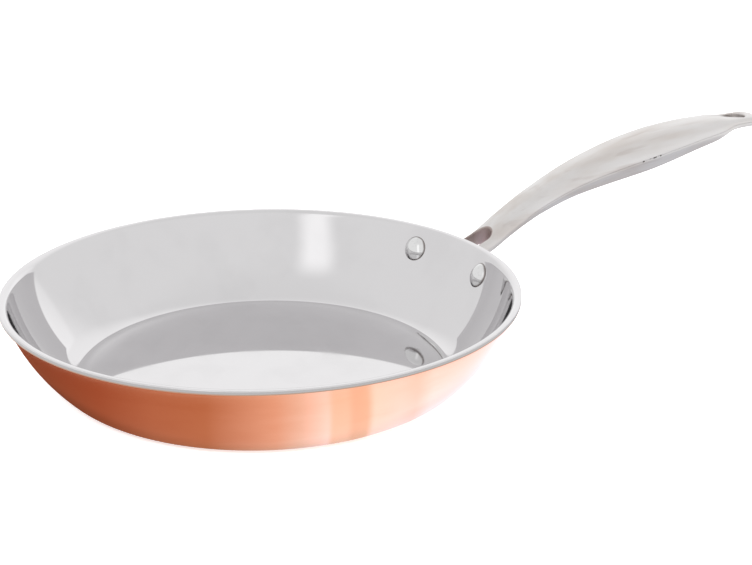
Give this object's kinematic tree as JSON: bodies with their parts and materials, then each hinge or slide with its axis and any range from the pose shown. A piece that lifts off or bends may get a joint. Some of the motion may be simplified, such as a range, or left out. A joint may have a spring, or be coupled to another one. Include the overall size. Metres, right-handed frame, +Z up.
{
  "type": "frying pan",
  "caption": "Round copper-clad frying pan with a flared polished-steel inside, a rolled lip, and a riveted hollow steel handle with a forked root and a hanging eye.",
  "frame": {"origin": "centre of the flat base, on the plane that the pan rests on", "axes": "+Z up through the pan's axis, +X along the handle from the pan to the hanging eye, +Y to the left of someone looking along the handle from the pan"},
  "size_m": [0.4869, 0.26, 0.0849],
  "materials": {
    "polished_steel": "mirror-polished stainless steel",
    "aluminium": "trimmed edge of the bonded core",
    "copper": "polished copper with a fine circular grain",
    "satin_steel": "satin-brushed stainless steel",
    "rivet_steel": "polished stainless steel"
  },
  "bodies": {
    "root": {"steel_liner": "polished_steel", "aluminium_core": "aluminium", "copper_shell": "copper", "handle_neck": "satin_steel", "handle_upper_shell": "satin_steel", "handle_lower_shell": "satin_steel", "rivet_left": "rivet_steel", "rivet_right": "rivet_steel"}
  },
  "joints": []
}
